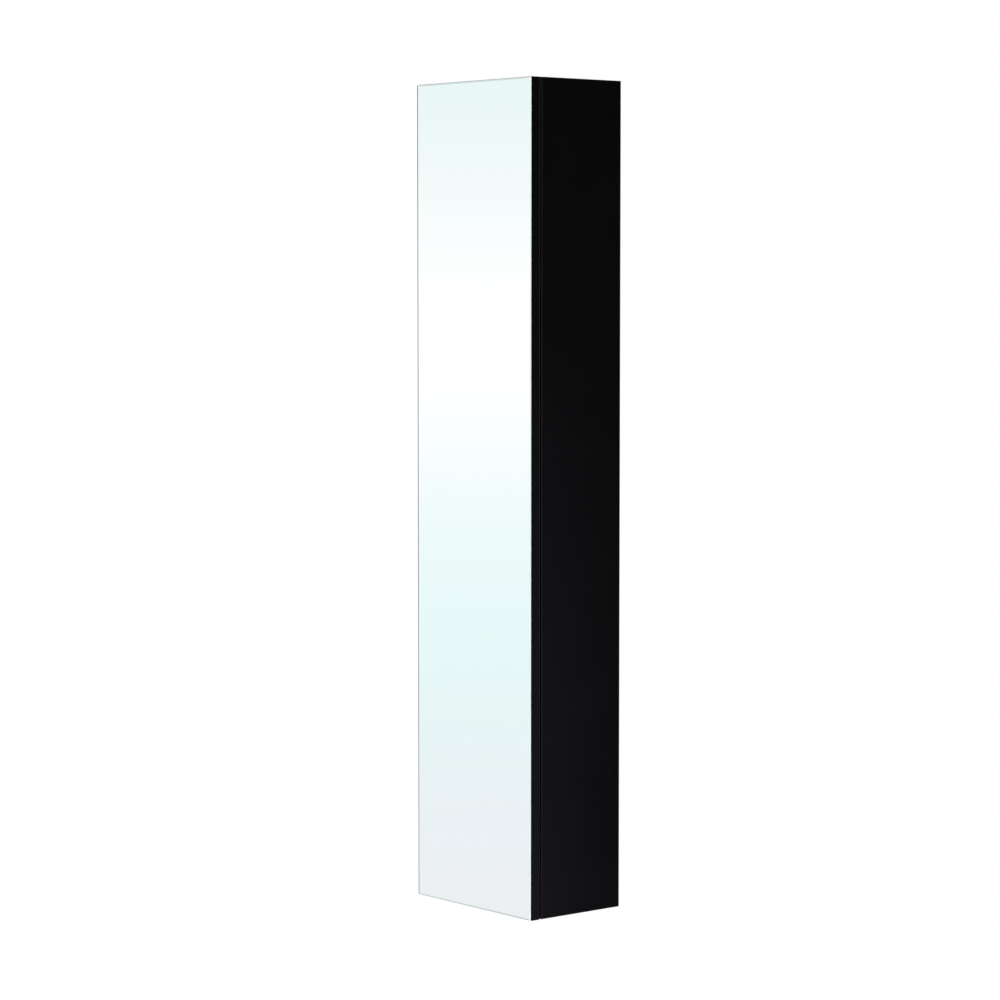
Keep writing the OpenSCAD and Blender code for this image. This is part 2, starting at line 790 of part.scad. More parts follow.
module hinge_arm(h) {
    color("#c9cbce") difference() {
        union() {
            for (s = [0, 1]) {
                translate([0, 0, h]) mirror([0, 0, s]) plate_z(cheek_z, cheek_out) arm_outline();
            }
            block(
                [arm_top_x, a[1] + 2 * nose_r, h - cheek_z],
                [arm_top_x + arm_t, front_y + arm_len, h + cheek_z]
            );
        }
        for (p = [a, b]) pin_hole(p, h, cheek_out);
        for (v = arm_screw_ys) bore_x([arm_top_x, v, h], arm_screw_d / 2, arm_t + cut);
    }
}

module hinge_arm_screws() {
    width = arm_screw_d - 2 * screw_gap;
    color("#9b9da1") for (h = hinge_heights, v = arm_screw_ys) {
        translate([arm_top_x + arm_t, v, h]) rotate([0, -90, 0]) {
            screw(width, arm_top_x - rail_x + arm_screw_grip, width, arm_t);
        }
    }
}

module cup_outline() {
    ends = cup_screw_heights(0);
    circle(cup_d / 2 + flange_rim);
    bar([cup_screw_offset, ends[0]], [cup_screw_offset, ends[1]], head_d / 2 + flange_rim);
}

module hinge_cup(h) {
    depth = cup_depth - cup_gap;
    color("#c9cbce") difference() {
        union() {
            rod_y([cup_x, door_back_y - depth, h], cup_r, depth);
            translate([cup_x, door_back_y + flange_t, h]) rotate([90, 0, 0]) {
                linear_extrude(flange_t) cup_outline();
            }
        }
        difference() {
            rod_y([cup_x, door_back_y - depth + cup_wall, h], cup_r - cup_wall, depth + flange_t);
            // Ears inside the cup, which carry the pins
            for (s = [-1, 1]) {
                translate([cup_x - cup_r, door_back_y - depth, h + s * (ear_z + cup_r / 2)]) {
                    translate([0, 0, -cup_r / 2]) cube([cup_r - ear_inset, depth, cup_r]);
                }
            }
        }
        for (p = [c, d]) pin_hole(p, h, cup_r);
        for (z = cup_screw_heights(h)) {
            rod_y([cup_screw_x, door_back_y - cut, z], screw_r, flange_t + 2 * cut);
        }
    }
}

module long_link(h) {
    out = long_link_z + long_link_t;
    color("#b4b6ba") difference() {
        union() {
            for (s = [0, 1]) {
                translate([0, 0, h]) mirror([0, 0, s]) plate_z(long_link_z, out) {
                    bar(a, elbow, long_link_r);
                    bar(elbow, c, long_link_r);
                }
            }
            rod_z([a[0], a[1], h - out], pin_r + hinge_pin_gap + sleeve_wall, 2 * out);
        }
        for (p = [a, c]) pin_hole(p, h, out);
    }
}

module short_link(h) {
    color("#b4b6ba") difference() {
        plate_z(h - short_link_z, h + short_link_z) bar(b, d, short_link_r);
        pin_hole(b, h, short_link_z);
    }
}

module arm_pins() {
    color("#8d8f94") for (h = hinge_heights, p = [a, b]) {
        rod_z([p[0], p[1], h - cheek_out], pin_r, 2 * cheek_out);
    }
}

// The cup's pins, each in two halves that start clear of the short link and end in the cup's ears
module cup_pins() {
    start = short_link_z + cup_pin_room;
    color("#8d8f94") for (h = hinge_heights, s = [0, 1]) {
        translate([0, 0, h]) mirror([0, 0, s]) {
            for (p = [c, d]) {
                reach = sqrt(pow(cup_r, 2) - pow(abs(p[0] - cup_x) + pin_r, 2)) - cup_pin_end;
                rod_z([p[0], p[1], start], pin_r, reach - start);
            }
        }
    }
}

module hinge_plate_screws() {
    color("#9b9da1") for (h = hinge_heights, z = plate_screw_heights(h)) {
        translate([-inner_x + plate_t + head_t, plate_screw_y, z]) {
            rotate([0, -90, 0]) screw(plate_screw_d, plate_t + plate_screw_len, plate_head_d, head_t);
        }
    }
}

module hinge_cup_screws() {
    color("#9b9da1") for (h = hinge_heights, z = cup_screw_heights(h)) {
        translate([cup_screw_x, door_back_y + flange_t + head_t, z]) {
            rotate([90, 0, 0]) screw(screw_d, flange_t + screw_len, head_d, head_t);
        }
    }
}

// Push latch with a magnet, at the free edge of the door

module latch_housing() {
    half = latch_ear_w / 2;
    color("#2b2b2e") difference() {
        union() {
            block(
                [inner_x - latch_w, latch_front_y, latch_z - latch_h / 2],
                [inner_x, latch_front_y + latch_len, latch_z + latch_h / 2]
            );
            block(
                [inner_x - latch_ear_t, latch_screw_y - half, latch_z - latch_screw_z - half],
                [inner_x, latch_screw_y + half, latch_z + latch_screw_z + half]
            );
        }
        rod_y([latch_x, latch_front_y - cut, latch_z], plunger_d / 2 + plunger_gap, latch_bore + cut);
        for (z = latch_screw_heights) {
            bore_x([inner_x - latch_ear_t, latch_screw_y, z], screw_r, latch_ear_t + cut);
        }
    }
}

module latch_plunger() {
    start = plunger_tip_y + magnet_len;
    color("#3a3a3e") rod_y([latch_x, start, latch_z], plunger_d / 2, plunger_len - magnet_len);
}

module latch_magnet() {
    color("#b9bbbf") rod_y([latch_x, plunger_tip_y, latch_z], plunger_d / 2, magnet_len);
}

module latch_screws() {
    color("#9b9da1") for (z = latch_screw_heights) {
        translate([inner_x - latch_ear_t - head_t, latch_screw_y, z]) {
            rotate([0, 90, 0]) screw(screw_d, latch_ear_t + screw_len, head_d, head_t);
        }
    }
}

// Hangers behind the back board, and the wall plates that they hook on

module right_hanger_housing() {
    color("#8d8f94") difference() {
        block([inner_x - hanger_w, back_rear_y, hanger_top - hanger_h], [inner_x, hanger_rear_y, hanger_top]);
        for (z = hanger_screw_heights) {
            bore_x([inner_x - hanger_w, hanger_y, z], screw_r, hanger_w + cut);
            bore_x([inner_x - hanger_w, hanger_y, z], head_d / 2 + head_gap, hanger_w - hanger_grip);
        }
    }
}

module right_hanger() { right_hanger_housing(); }
module left_hanger() { mirror([1, 0, 0]) right_hanger_housing(); }

// A hook: a plate on the housing's back, a bridge over the wall plate's lip, and a finger down behind it
module right_hook() {
    low = [hanger_x - hook_w / 2, hanger_rear_y, hook_z];
    rear = wall_y - hook_t - hook_gap;
    color("#b9bbbf") {
        block(low - [0, 0, hook_plate_low], low + [hook_w, hook_plate_t, hook_plate_high]);
        block(low, [low[0] + hook_w, rear, hook_z + hook_t]);
        block([low[0], lip_y + hook_t + hook_gap, hook_z - hook_finger], [low[0] + hook_w, rear, hook_z]);
    }
}

module left_hook() { mirror([1, 0, 0]) right_hook(); }

module right_wall_plate() {
    far = inner_x - wall_plate_side;
    near = far - wall_plate_w;
    lip_z = hook_z - lip_h;
    color("#b9bbbf") difference() {
        union() {
            block([near, wall_y - hook_t, hook_z - wall_plate_h], [far, wall_y, hook_z + wall_plate_head]);
            block([near, lip_y, lip_z], [far, wall_y - hook_t, lip_z + hook_t]);
            block([near, lip_y, lip_z], [far, lip_y + hook_t, hook_z]);
        }
        for (z = wall_hole_heights) {
            rod_y([inner_x - wall_hole_x, wall_y - hook_t - cut, z], wall_hole_d / 2, hook_t + 2 * cut);
        }
    }
}

module left_wall_plate() { mirror([1, 0, 0]) right_wall_plate(); }

module hanger_screws() {
    color("#9b9da1") both_sides() for (z = hanger_screw_heights) {
        translate([inner_x - hanger_grip - head_t, hanger_y, z]) rotate([0, 90, 0]) {
            screw(screw_d, hanger_grip + screw_len, head_d, head_t);
        }
    }
}

module hanger_caps() {
    color("#1c1c1f") both_sides() {
        rod_y([hanger_x, back_y - cap_t, hanger_adjust_z], cap_hole_d / 2 + cap_rim, cap_t);
        rod_y([hanger_x, back_y, hanger_adjust_z], cap_hole_d / 2 - cap_gap, back_t);
    }
}

left_side_panel();
right_side_panel();
top_panel();
bottom_panel();
fixed_shelf();
back_panel();
stiffener();
for (i = [0:3]) {
    glass_shelf(shelf_heights[i]);
    shelf_supports(shelf_heights[i]);
}
support_pads();
cam_locks();
cam_bolts();
wood_dowels();
cam_covers();
door_panel();
mirror_glass();
mirror_tape();
door_bumpers();
catch_plate();
catch_screw();
for (i = [0:2]) {
    hinge_plate(hinge_heights[i]);
    hinge_arm(hinge_heights[i]);
    hinge_cup(hinge_heights[i]);
    long_link(hinge_heights[i]);
    short_link(hinge_heights[i]);
}
arm_pins();
cup_pins();
hinge_plate_screws();
hinge_arm_screws();
hinge_cup_screws();
latch_housing();
latch_plunger();
latch_magnet();
latch_screws();
left_hanger();
right_hanger();
left_hook();
right_hook();
left_wall_plate();
right_wall_plate();
hanger_screws();
hanger_caps();
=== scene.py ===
# %% [markdown]
# # A tall cabinet with a mirrored door
#
# The object is a slim wall cabinet for linen. Its whole front is one frameless mirror on a black door, its sides are
# plain black lacquer, and it has no handle. The measured model brings every board, hinge and screw in its true place.
# This file gives each of them its finish, makes a few small pieces whose soft or polished forms show, and sets up
# the studio. Everything is in metres: +Z is up, the mirror faces -Y and the wall would be at +Y.

# %% Load the measured model
import json
import math

import bpy
import numpy as np
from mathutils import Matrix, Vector


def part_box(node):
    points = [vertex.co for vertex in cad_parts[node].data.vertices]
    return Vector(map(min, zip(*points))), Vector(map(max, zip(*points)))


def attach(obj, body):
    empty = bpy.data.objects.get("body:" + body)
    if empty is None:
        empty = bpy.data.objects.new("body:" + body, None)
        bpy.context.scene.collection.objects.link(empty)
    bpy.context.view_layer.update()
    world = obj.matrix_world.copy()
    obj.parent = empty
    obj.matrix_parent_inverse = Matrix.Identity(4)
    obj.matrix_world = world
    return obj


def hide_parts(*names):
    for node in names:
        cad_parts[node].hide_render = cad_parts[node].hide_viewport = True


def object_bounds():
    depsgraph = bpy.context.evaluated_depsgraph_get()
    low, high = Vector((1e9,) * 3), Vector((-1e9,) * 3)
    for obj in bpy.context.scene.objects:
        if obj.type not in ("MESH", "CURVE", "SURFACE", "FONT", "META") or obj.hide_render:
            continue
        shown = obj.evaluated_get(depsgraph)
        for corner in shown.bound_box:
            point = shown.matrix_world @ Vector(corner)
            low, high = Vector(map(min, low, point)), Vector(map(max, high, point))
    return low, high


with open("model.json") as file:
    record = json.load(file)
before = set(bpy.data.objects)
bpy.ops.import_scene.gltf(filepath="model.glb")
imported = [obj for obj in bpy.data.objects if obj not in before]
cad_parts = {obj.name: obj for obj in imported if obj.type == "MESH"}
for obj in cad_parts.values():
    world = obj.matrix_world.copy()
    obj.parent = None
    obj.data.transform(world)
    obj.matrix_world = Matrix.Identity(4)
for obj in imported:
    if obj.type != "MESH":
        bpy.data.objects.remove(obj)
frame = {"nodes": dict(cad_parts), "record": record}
size_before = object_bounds()
MM = 0.001
print("nodes:", len(frame["nodes"]), "size in mm:", [round(v / MM) for v in size_before[1] - size_before[0]])

# %% [markdown]
# ## The camera
#
# The photograph was taken with a long lens from the right of the mirror, a little above the middle of the cabinet.
# A camera can be placed by eye, but eight corners of a box are enough to work out where it stood, so the numbers here
# are that answer: the point it looks at, the direction from there to the camera, the distance and the lens.

# %% Camera
LOOK_AT = Vector((0.0733, -0.1, 0.7002))
CAMERA_AZIMUTH = 50.35
CAMERA_ELEVATION = 3.95
CAMERA_DISTANCE = 5.271
FOCAL_LENGTH = 113.56


def towards(azimuth, elevation):
    """The unit vector from the object to a place in the studio: azimuth turns from -Y to +X, elevation lifts it."""
    a, e = math.radians(azimuth), math.radians(elevation)
    return Vector((math.sin(a) * math.cos(e), -math.cos(a) * math.cos(e), math.sin(e)))


def aim(thing, place, at):
    """Puts a camera, a lamp or a card at a place, with its own -Z axis along the line from there to the point at."""
    thing.location = place
    thing.rotation_euler = (at - place).to_track_quat("-Z", "Y").to_euler()


scene = bpy.context.scene
camera = bpy.data.objects.new("camera", bpy.data.cameras.new("camera"))
scene.collection.objects.link(camera)
aim(camera, LOOK_AT + CAMERA_DISTANCE * towards(CAMERA_AZIMUTH, CAMERA_ELEVATION), LOOK_AT)
camera.data.lens = FOCAL_LENGTH
scene.camera = camera
print("camera at", [round(v, 3) for v in camera.location])

# %% [markdown]
# ## Colours and nodes
#
# A colour is easiest to choose as it looks on a screen, as an sRGB hex value, but light adds up in linear values. One
# function turns the one into the other. A second one adds a shader node with its settings and its links. Two more begin
# a finish and feed its surface, which keeps each finish short enough to read as a recipe.

# %% Helpers for the finishes


def linear(colour):
    """An sRGB hex colour as linear RGBA: a channel of up to 0.04045 is divided by 12.92, and a higher one has 0.055
    added, is divided by 1.055 and is raised to the power of 2.4."""
    c = np.array([int(colour[i : i + 2], 16) for i in (1, 3, 5)]) / 255
    return (*np.where(c <= 0.04045, c / 12.92, ((c + 0.055) / 1.055) ** 2.4).tolist(), 1.0)


def add(tree, kind, inputs=None, **settings):
    """Adds one node: settings are its own properties, and an input is either a value or the socket that feeds it."""
    made = tree.nodes.new(kind)
    for key, value in settings.items():
        setattr(made, key, value)
    for key, value in (inputs or {}).items():
        if isinstance(value, bpy.types.NodeSocket):
            tree.links.new(value, made.inputs[key])
        else:
            made.inputs[key].default_value = value
    return made


def finish(name, **inputs):
    """A new material with one Principled surface, on which the inputs are set. Returns the material, its tree, the
    surface and its object coordinates."""
    material = bpy.data.materials.new(name)
    material.use_nodes = True
    tree = material.node_tree
    surface = tree.nodes["Principled BSDF"]
    for key, value in inputs.items():
        surface.inputs[key.replace("_", " ")].default_value = value
    return material, tree, surface, add(tree, "ShaderNodeTexCoord").outputs["Object"]


def feed(tree, surface, **nodes):
    """Links the result of each node to the surface's input of that name, with a space for each underscore."""
    for key, node in nodes.items():
        result = next(socket for socket in node.outputs if socket.enabled)
        tree.links.new(result, surface.inputs[key.replace("_", " ")])


FINISHES = {}
print("middle grey in linear light:", round(linear("#808080")[0], 3))

# %% [markdown]
# ## Black lacquer
#
# The boards are fibreboard, sprayed with black satin lacquer. Sprayed lacquer isn't quite flat: it dries in shallow
# waves two or three millimetres across, which a painter calls orange peel, and its sheen differs a little from place to
# place. The waves here are 8 mm across, since real ones would be finer than a pixel of the picture. The thin back board
# is rolled and not sprayed, so it is matt.

# %% Sprayed and rolled black
SPRAY_WAVE = 8 * MM
SHEEN_PATCH = 140 * MM
SHEEN_DRIFT = 0.04


def black_paint(name, colours, shine, wave_depth):
    """Black paint: over wide patches its roughness drifts round shine and its colour between the two given, and shallow
    waves bend its highlights. Returns the material, its tree, its surface and its object coordinates."""
    material, tree, surface, where = finish(name, IOR=1.48)
    patches = add(tree, "ShaderNodeTexNoise", {"Vector": where, "Scale": 1 / SHEEN_PATCH}).outputs["Fac"]
    tints = {"Factor": patches, "A": linear(colours[0]), "B": linear(colours[1])}
    tint = add(tree, "ShaderNodeMix", tints, data_type="RGBA")
    drift = {"Value": patches, "To Min": shine - SHEEN_DRIFT, "To Max": shine + SHEEN_DRIFT}
    sheen = add(tree, "ShaderNodeMapRange", drift)
    waves = add(tree, "ShaderNodeTexNoise", {"Vector": where, "Scale": 1 / SPRAY_WAVE}).outputs["Fac"]
    bump = add(tree, "ShaderNodeBump", {"Height": waves, "Distance": wave_depth})
    feed(tree, surface, Base_Color=tint, Roughness=sheen, Normal=bump)
    return material, tree, surface, where


BLACKS = ("#050506", "#070708")
lacquer, tree, surface, where = black_paint("sprayed black satin lacquer", BLACKS, shine=0.23, wave_depth=0.006 * MM)
FINISHES["black_lacquer"] = lacquer
board, *_ = black_paint("rolled matt black paint", ("#121214", "#171719"), shine=0.55, wave_depth=0.02 * MM)
FINISHES["black_board"] = board
print("lacquer reflects", [round(linear(black)[0], 4) for black in BLACKS], "of the light that enters it")

# %% [markdown]
# ## The inside faces
#
# Inside, the same boards are faced with melamine, a paper set in resin. It is pressed under a plate with a fine leather
# grain, so it is duller and a little greyer than the lacquer. A board is one node, so its finish has to change with
# place: everything within the clear room of the cabinet is melamine. The test scales that room to a cube from -1 to 1
# and asks for the largest coordinate. Real grain is 0.4 mm, and it is drawn at 2.5 mm, which the picture can show.

# %% Melamine within the clear room
ROOM = (Vector((0, 11, 700)) * MM, Vector((134.5, 84.5, 684.5)) * MM)
LEATHER = 2.5 * MM
DULL = (0.38, 0.52)
centred = add(tree, "ShaderNodeVectorMath", {0: where, 1: ROOM[0]}, operation="SUBTRACT").outputs["Vector"]
scaled = add(tree, "ShaderNodeVectorMath", {0: centred, 1: ROOM[1]}, operation="DIVIDE").outputs["Vector"]
sides = add(tree, "ShaderNodeVectorMath", {0: scaled}, operation="ABSOLUTE").outputs["Vector"]
x, y, z = add(tree, "ShaderNodeSeparateXYZ", {"Vector": sides}).outputs
largest = add(tree, "ShaderNodeMath", {0: x, 1: y}, operation="MAXIMUM").outputs["Value"]
largest = add(tree, "ShaderNodeMath", {0: largest, 1: z}, operation="MAXIMUM").outputs["Value"]
inside = add(tree, "ShaderNodeMath", {0: largest, 1: 1.0}, operation="LESS_THAN").outputs["Value"]
grain = add(tree, "ShaderNodeTexNoise", {"Vector": where, "Scale": 1 / LEATHER, "Detail": 3.0}).outputs["Fac"]
greys = {"Factor": grain, "A": linear("#171719"), "B": linear("#1e1e20")}
pressed = add(tree, "ShaderNodeMix", greys, data_type="RGBA").outputs["Result"]
duller = add(tree, "ShaderNodeMapRange", {"Value": grain, "To Min": DULL[0], "To Max": DULL[1]}).outputs["Result"]
sprayed, sheen = (surface.inputs[name].links[0].from_socket for name in ("Base Color", "Roughness"))
tint = add(tree, "ShaderNodeMix", {"Factor": inside, "A": sprayed, "B": pressed}, data_type="RGBA")
gloss = add(tree, "ShaderNodeMix", {"Factor": inside, "A": sheen, "B": duller})
feed(tree, surface, Base_Color=tint, Roughness=gloss)
print("melamine within a room of", [round(2 * half / MM) for half in ROOM[1]], "mm")

# %% [markdown]
# ## The mirror
#
# A mirror is float glass with silver on its back. Iron in the glass takes a little red out of what it reflects, so a
# white room comes back faintly green and blue. Its ground edges aren't silvered: they are pale, since light runs round
# inside the glass and comes out there. The same node needs both finishes, so the object's own normal picks one: it is
# along Y on the face and on the shallow bevel, and across Y on the edges. A wiped mirror also keeps a trace of haze.

# %% Silvered float glass
HAZE_PATCH = 90 * MM
MOST_HAZE = 0.012
GROUND_EDGE = 0.25
SILVERED_FROM = 0.7
material, tree, surface, where = finish("silvered float glass", IOR=1.52)
normal = add(tree, "ShaderNodeTexCoord").outputs["Normal"]
across = add(tree, "ShaderNodeSeparateXYZ", {"Vector": normal}).outputs["Y"]
facing = add(tree, "ShaderNodeMath", {0: across}, operation="ABSOLUTE").outputs["Value"]
silvered = add(tree, "ShaderNodeMath", {0: facing, 1: SILVERED_FROM}, operation="GREATER_THAN")
is_silver = silvered.outputs["Value"]
patches = add(tree, "ShaderNodeTexNoise", {"Vector": where, "Scale": 1 / HAZE_PATCH}).outputs["Fac"]
haze = add(tree, "ShaderNodeMapRange", {"Value": patches, "To Min": 0.0, "To Max": MOST_HAZE}).outputs["Result"]
gloss = add(tree, "ShaderNodeMix", {"Factor": is_silver, "A": GROUND_EDGE, "B": haze})
tints = {"Factor": is_silver, "A": linear("#e6f0ee"), "B": linear("#e9f7f7")}
tint = add(tree, "ShaderNodeMix", tints, data_type="RGBA")
feed(tree, surface, Base_Color=tint, Metallic=silvered, Roughness=gloss)
FINISHES["mirror"] = material
print("the mirror's roughness is at most", MOST_HAZE, "and its ground edge's is", GROUND_EDGE)

# %% [markdown]
# ## Clear glass
#
# The shelves are toughened float glass. Looked through, it is nearly clear, and along its polished edges, where the eye
# looks through a hand's width of it, it is green. So the edge gets the deeper colour, again by the object's normal.

# %% Shelf glass
SHELF_HAZE = 0.02
material, tree, surface, where = finish("toughened shelf glass", IOR=1.52, Transmission_Weight=1.0)
normal = add(tree, "ShaderNodeTexCoord").outputs["Normal"]
upward = add(tree, "ShaderNodeSeparateXYZ", {"Vector": normal}).outputs["Z"]
facing = add(tree, "ShaderNodeMath", {0: upward}, operation="ABSOLUTE").outputs["Value"]
tints = {"Factor": facing, "A": linear("#9fd0bf"), "B": linear("#f2faf7")}
tint = add(tree, "ShaderNodeMix", tints, data_type="RGBA")
patches = add(tree, "ShaderNodeTexNoise", {"Vector": where, "Scale": 1 / HAZE_PATCH}).outputs["Fac"]
haze = add(tree, "ShaderNodeMapRange", {"Value": patches, "To Min": 0.0, "To Max": SHELF_HAZE})
feed(tree, surface, Base_Color=tint, Roughness=haze)
FINISHES["shelf_glass"] = material
print("finishes so far:", sorted(FINISHES))

# %% [markdown]
# ## Metals
#
# Every fitting is a metal, and what tells one from another is how it was made. Pressed and nickel-plated steel is
# bright and warm, with faint lines from the strip it was rolled as. Cast zinc has a fine grain from its mould. Screws
# are zinc-plated and slightly blue, pins are drawn wire, and the magnet's plating is nearly a mirror. One recipe holds
# them: a pattern of marks, and what the marks do to the colour, the roughness and the surface.

# %% Plated, cast and drawn metal


def marked(name, colours, mark, rough=None, depth=0.0, stretch=(1, 1, 1), detail=4.0, **inputs):
    """A finish that follows one pattern of marks: soft noise with lumps about mark metres across, drawn out along an
    axis where stretch is under 1. The marks move the colour between two, the roughness through a range where rough is
    given, and the surface up and down by depth. The inputs are set on the surface."""
    material, tree, surface, where = finish(name, **inputs)
    drawn = add(tree, "ShaderNodeMapping", {"Vector": where, "Scale": stretch}).outputs["Vector"]
    marks = add(tree, "ShaderNodeTexNoise", {"Vector": drawn, "Scale": 1 / mark, "Detail": detail}).outputs["Fac"]
    tints = {"Factor": marks, "A": linear(colours[0]), "B": linear(colours[1])}
    feed(tree, surface, Base_Color=add(tree, "ShaderNodeMix", tints, data_type="RGBA"))
    if rough:
        ends = {"Value": marks, "To Min": rough[0], "To Max": rough[1]}
        feed(tree, surface, Roughness=add(tree, "ShaderNodeMapRange", ends))
    if depth:
        feed(tree, surface, Normal=add(tree, "ShaderNodeBump", {"Height": marks, "Distance": depth}))
    return material


METALS = {
    # Its name, two colours, the size of its marks in mm, a range of roughness, their depth in mm, and the stretch
    "nickel": ("pressed steel with nickel plating", ("#b8b5ad", "#cbc8c1"), 1.2, (0.16, 0.3), 0.004, (1, 0.06, 1)),
    "zinc": ("cast zinc", ("#8f9194", "#a6a8ab"), 0.6, (0.36, 0.5), 0.02, (1, 1, 1)),
    "screw_steel": ("zinc plated screw steel", ("#9da0a6", "#b2b5ba"), 0.8, (0.24, 0.38), 0.006, (1, 1, 1)),
    "steel_pin": ("drawn steel wire", ("#868a8f", "#989ca1"), 0.5, (0.18, 0.28), 0.004, (1, 1, 0.05)),
    "magnet": ("nickel plated magnet", ("#b2b5ba", "#c0c3c8"), 2, (0.08, 0.16), 0.001, (1, 1, 1)),
}
for slot, (name, colours, mark_mm, rough, depth_mm, stretch) in METALS.items():
    FINISHES[slot] = marked(name, colours, mark_mm * MM, rough, depth_mm * MM, stretch, Metallic=1.0)
print("metals:", sorted(METALS))

# %% [markdown]
# ## Plastic, foam and beech
#
# Moulded black plastic copies the fine spark-eroded texture of its mould, about half a millimetre across. The pads and
# bumpers are clear polyurethane, softer than glass and a little cloudy. The tape between the mirror and the door is
# white foam, and the dowels that locate the boards are raw beech, whose pores and rays run along the grain. The dowels
# only show in a model taken apart, so their pattern stays simple. The recipe for metals serves all four.

# %% Moulded, foamed and wooden finishes
MOULD_TEXTURE, CLOUD, FOAM_CELL, GRAIN = 0.5 * MM, 3 * MM, 0.4 * MM, 1.5 * MM
FINISHES["black_plastic"] = marked(
    "moulded black plastic", ("#121214", "#1b1b1d"), MOULD_TEXTURE, (0.42, 0.56), 0.03 * MM, detail=3.0, IOR=1.5
)
FINISHES["clear_pad"] = marked(
    "clear polyurethane", ("#e2e7e8", "#f0f3f3"), CLOUD, (0.18, 0.34), detail=2.0, IOR=1.49, Transmission_Weight=0.85
)
FINISHES["white_tape"] = marked(
    "white foam tape", ("#d9d9d4", "#eeeeea"), FOAM_CELL, depth=0.1 * MM, detail=1.0, Roughness=0.8
)
FINISHES["beech"] = marked(
    "raw beech", ("#c49a68", "#dcb98c"), GRAIN, depth=0.02 * MM, stretch=(0.08, 1, 1), Roughness=0.6
)
print("all finishes:", sorted(FINISHES))

# %% [markdown]
# ## Dress the measured pieces
#
# The record says which finish each node takes, so one loop dresses all of them. Their meshes stay as they are.

# %% Give every node its finish
SLOTS = {part["node"]: part["material_slot"] for part in frame["record"]["subparts"]}


def dress(piece, slot):
    """Makes the slot's finish the only material of a piece."""
    piece.data.materials.clear()
    piece.data.materials.append(FINISHES[slot])


for node, piece in frame["nodes"].items():
    dress(piece, SLOTS[node])
print("finishes in use:", sorted(set(SLOTS.values())))

# %% [markdown]
# ## Pieces made from rings
#
# A few pieces have polished or domed forms that plain solids lack. All of them are one kind of surface: a ring of
# points that changes size as it is carried along a line, closed by a flat face at each end. A glass shelf is a rounded
# rectangle that shrinks towards its top and bottom faces, and a bumper is a circle that shrinks along a dome. numpy
# works out all the rings at once, as an array of rings by points by three coordinates.

# %% Surfaces from rings
SOFT_ANGLE = math.radians(32)


def from_rings(name, stacks, pierced=False):
    """One mesh from stacks of rings, each an array (rings, points, 3), whose neighbours are joined by quads.
    A solid stack has a flat cap at each end. In a pierced one the last ring comes back to the first, as in a washer.
    The sharp edges are found first, because that makes every face smooth, and the caps are made flat after it."""
    corners, faces, start = [], [], 0
    for rings in stacks:
        count, points = rings.shape[:2]
        index = start + np.arange(count * points).reshape(count, points)
        faces += [] if pierced else [index[0, ::-1].tolist(), index[-1].tolist()]
        index = np.concatenate([index, index[:1]]) if pierced else index
        beside = np.roll(index, -1, axis=1)
        faces += np.stack([index[:-1], beside[:-1], beside[1:], index[1:]], axis=-1).reshape(-1, 4).tolist()
        corners.append(rings.reshape(-1, 3))
        start += count * points
    mesh = bpy.data.meshes.new(name)
    mesh.from_pydata(np.concatenate(corners), [], faces)
    mesh.set_sharp_from_angle(angle=SOFT_ANGLE)
    mesh.polygons.foreach_set("use_smooth", np.array([len(face) == 4 for face in faces]))
    piece = bpy.data.objects.new(name, mesh)
    scene.collection.objects.link(piece)
    return piece


def stands_for(piece, body, slot, *nodes):
    """Dresses a new piece, lets it ride on its body, and hides the nodes that it stands for."""
    dress(piece, slot)
    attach(piece, body)
    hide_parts(*nodes)
    print(piece.name, "stands for", *nodes, "with", len(piece.data.polygons), "faces")


print("edges stay sharp from", round(math.degrees(SOFT_ANGLE)), "degrees")

# %% [markdown]
# ## Glass shelves
#
# A shelf's edge is ground to a flat with a polished round above and below it, so that it catches a thin line of light.
# Its section is therefore a short straight edge between two quarter circles. The rings run up that section: each is the
# shelf's outline, drawn in by what the round takes away.

# %% Four polished shelves
EDGE_ROUND, EDGE_STEPS = 1.6 * MM, 5
CORNER_ROUND, CORNER_STEPS = 4 * MM, 6


def rounded_rectangle(low, high, radius):
    """Points round a rectangle in X and Y, anticlockwise, whose corners are quarter circles of the radius."""
    turn = np.linspace(0, math.pi / 2, CORNER_STEPS) + np.arange(4)[:, None] * math.pi / 2
    arc = radius * np.stack([np.cos(turn), np.sin(turn)], axis=-1)
    inner = np.array([[high[0], high[1]], [low[0], high[1]], [low[0], low[1]], [high[0], low[1]]])
    centres = inner - radius * np.array([[1, 1], [-1, 1], [-1, -1], [1, -1]])
    return (centres[:, None] + arc).reshape(-1, 2)


quarter = np.linspace(0, math.pi / 2, EDGE_STEPS)
rising = EDGE_ROUND * (1 - np.cos(quarter))
drawn_in = EDGE_ROUND * (1 - np.sin(quarter))
for number in range(1, 5):
    node = f"glass_shelf_{number}"
    low, high = (np.array(v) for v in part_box(node))
    heights = np.concatenate([low[2] + rising, high[2] - rising[::-1]])
    rings = []
    for inset, height in zip(np.concatenate([drawn_in, drawn_in[::-1]]), heights):
        outline = rounded_rectangle(low + inset, high - inset, CORNER_ROUND)
        rings.append(np.column_stack([outline, np.full(len(outline), height)]))
    stands_for(from_rings(f"polished_shelf_{number}", [np.array(rings)]), "carcass", "shelf_glass", node)

# %% [markdown]
# ## Bumpers
#
# Two clear bumpers keep the door from knocking on the carcass. Each is a small dome, stuck down by its flat side: an
# upright rim for a quarter of its height, then a quarter of an ellipse up to a small flat. The node holds both, so its
# points are told apart by the wide gap between them, and each gets a dome of its own.

# %% Two domed bumpers
APART = 20 * MM
ROUND_STEPS = 48


def parted(points, axis):
    """Splits points into groups along an axis: sorted, they part wherever the step to the next one is over 20 mm."""
    points = points[np.argsort(points[:, axis])]
    return np.split(points, np.flatnonzero(np.diff(points[:, axis]) > APART) + 1)


